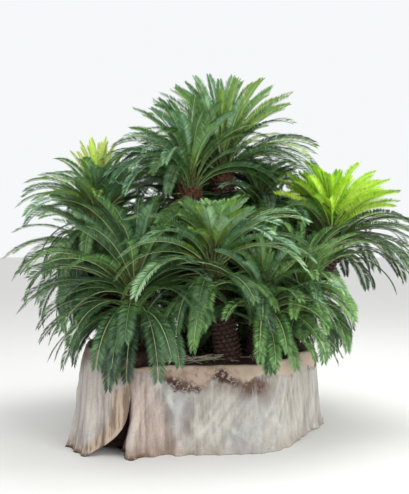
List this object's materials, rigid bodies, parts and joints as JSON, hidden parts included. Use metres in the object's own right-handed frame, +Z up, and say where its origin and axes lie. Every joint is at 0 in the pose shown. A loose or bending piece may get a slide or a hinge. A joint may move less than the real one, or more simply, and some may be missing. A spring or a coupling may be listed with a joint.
{
  "type": "sago cycad clump with root ball",
  "caption": "Clump of sago cycads lifted with its cloth-wrapped root ball: leaning scaly trunks from one root, each under a rosette of arching, toothed fronds.",
  "frame": {"origin": "on the flat underside of the root ball, below the middle of the crown", "axes": "+Z up along the trunks, the front with the slit in the wrap towards -Y, +X to the right seen from the front"},
  "size_m": [3.716, 3.0212, 2.9645],
  "materials": {
    "wrap_cloth": "pale weathered cloth, matt, muddy at the top",
    "soil": "dark red-brown earth, matt",
    "bark": "dark red-brown, scaly with old leaf bases",
    "leaf_old": "deep green, slightly glossy",
    "leaf_full": "mid green, slightly glossy",
    "leaf_young": "fresh green, slightly glossy",
    "leaf_lime": "lime green, satin"
  },
  "bodies": {
    "root": {"wrap_main": "wrap_cloth", "wrap_side": "wrap_cloth", "soil_main": "soil", "soil_side": "soil", "trunk_top": "bark", "fronds_top_young": "leaf_young", "fronds_top_full": "leaf_full", "fronds_top_old": "leaf_old", "trunk_upper_left": "bark", "fronds_upper_left_young": "leaf_young", "fronds_upper_left_full": "leaf_full", "fronds_upper_left_old": "leaf_old", "trunk_middle_right": "bark", "fronds_middle_right_young": "leaf_young", "fronds_middle_right_full": "leaf_full", "fronds_middle_right_old": "leaf_old", "trunk_left": "bark", "fronds_left_young": "leaf_lime", "fronds_left_full": "leaf_full", "fronds_left_old": "leaf_old", "trunk_right": "bark", "fronds_right_young": "leaf_lime", "fronds_right_full": "leaf_full", "fronds_right_old": "leaf_old", "trunk_front": "bark", "fronds_front_young": "leaf_young", "fronds_front_full": "leaf_full", "fronds_front_old": "leaf_old", "trunk_low_left": "bark", "fronds_low_left_young": "leaf_young", "fronds_low_left_full": "leaf_full", "fronds_low_left_old": "leaf_old", "trunk_low_front": "bark", "fronds_low_front_young": "leaf_young", "fronds_low_front_full": "leaf_full", "fronds_low_front_old": "leaf_old", "trunk_low_right": "bark", "fronds_low_right_young": "leaf_young", "fronds_low_right_full": "leaf_full", "fronds_low_right_old": "leaf_old", "trunk_rear_left": "bark", "fronds_rear_left_young": "leaf_young", "fronds_rear_left_full": "leaf_full", "fronds_rear_left_old": "leaf_old", "trunk_rear": "bark", "fronds_rear_young": "leaf_young", "fronds_rear_full": "leaf_full", "fronds_rear_old": "leaf_old", "trunk_rear_right": "bark", "fronds_rear_right_young": "leaf_young", "fronds_rear_right_full": "leaf_full", "fronds_rear_right_old": "leaf_old"}
  },
  "joints": []
}
